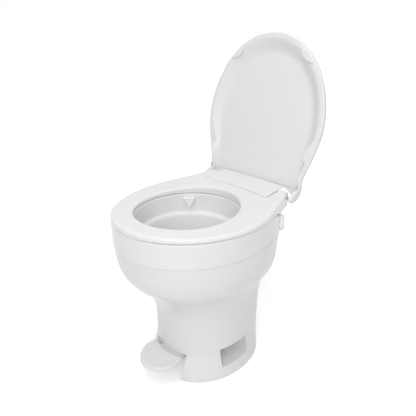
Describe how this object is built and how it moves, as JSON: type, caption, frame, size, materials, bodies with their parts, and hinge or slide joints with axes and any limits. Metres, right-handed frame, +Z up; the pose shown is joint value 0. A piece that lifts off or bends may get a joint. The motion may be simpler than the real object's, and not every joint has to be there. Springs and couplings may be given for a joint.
{
  "type": "rv toilet",
  "caption": "Foot-pedal RV toilet with an oval seat, lift-up lid, flared pedestal, part-ball waste valve and side pockets for the floor bolts.",
  "frame": {"origin": "centre of the drain outlet at the floor", "axes": "+Z up, -Y towards the front of the bowl, +X to the right seen from the front"},
  "size_m": [0.379, 0.4957, 0.8238],
  "materials": {
    "shell": "satin gloss white",
    "mechanism": "matte grey",
    "white_fitting": "satin white",
    "seal": "matte black",
    "bumper": "soft white",
    "steel": "plain",
    "hose": "satin black"
  },
  "bodies": {
    "base": {"pedestal": "shell", "bowl": "shell", "spray_nozzle": "white_fitting", "vacuum_breaker": "white_fitting", "valve_hose": "hose", "nozzle_hose": "hose", "supply_hose": "hose", "water_valve": "mechanism", "water_inlet": "mechanism", "valve_housing": "mechanism", "housing_screws": "steel", "ball_seal": "seal", "floor_seal": "seal", "bush_right": "mechanism", "bush_left": "mechanism", "pedal_shaft": "steel", "shaft_collar": "steel", "return_spring": "steel", "hinge_block_right": "white_fitting", "hinge_block_left": "white_fitting", "hinge_pins": "steel", "hinge_bolts": "steel", "hinge_washers": "steel", "hinge_nuts": "steel", "hinge_cover": "shell"},
    "seat": {"seat": "shell", "seat_bumpers": "bumper"},
    "lid": {"lid": "shell", "lid_bumpers": "bumper"},
    "pedal": {"pedal": "shell", "pedal_screws": "steel", "pedal_lever": "mechanism", "sector_gear": "mechanism"},
    "ball": {"waste_ball": "mechanism", "drive_stub": "steel", "idle_stub": "steel", "stub_clip": "steel", "pinion": "mechanism"},
    "plunger": {"valve_plunger": "mechanism"}
  },
  "joints": [
    {"name": "seat_hinge", "type": "hinge", "parent": "base", "child": "seat", "pos_m": [0, 0.162, 0.4445], "axis": [-1, 0, 0], "range_deg": [0, 95]},
    {"name": "lid_hinge", "type": "hinge", "parent": "seat", "child": "lid", "pos_m": [0, 0.162, 0.4445], "axis": [1, 0, 0], "range_deg": [0, 103.4]},
    {"name": "pedal_pivot", "type": "hinge", "parent": "base", "child": "pedal", "pos_m": [0, -0.087, 0.0729], "axis": [1, 0, 0], "range_deg": [0, 16], "stiffness_Nm_per_rad": 1.2, "springref_deg": -28.65},
    {"name": "ball_turn", "type": "hinge", "parent": "base", "child": "ball", "pos_m": [0, 0, 0.15], "axis": [-1, 0, 0], "range_deg": [0, 83.2]},
    {"name": "plunger_slide", "type": "slide", "parent": "base", "child": "plunger", "axis": [0, 0, 1], "range_m": [0, 0.007]}
  ],
  "couplings": [
    {"joint": "ball_turn", "follows": "pedal_pivot", "ratio": 5.2},
    {"joint": "plunger_slide", "follows": "pedal_pivot", "m_per_rad": 0.0249}
  ]
}
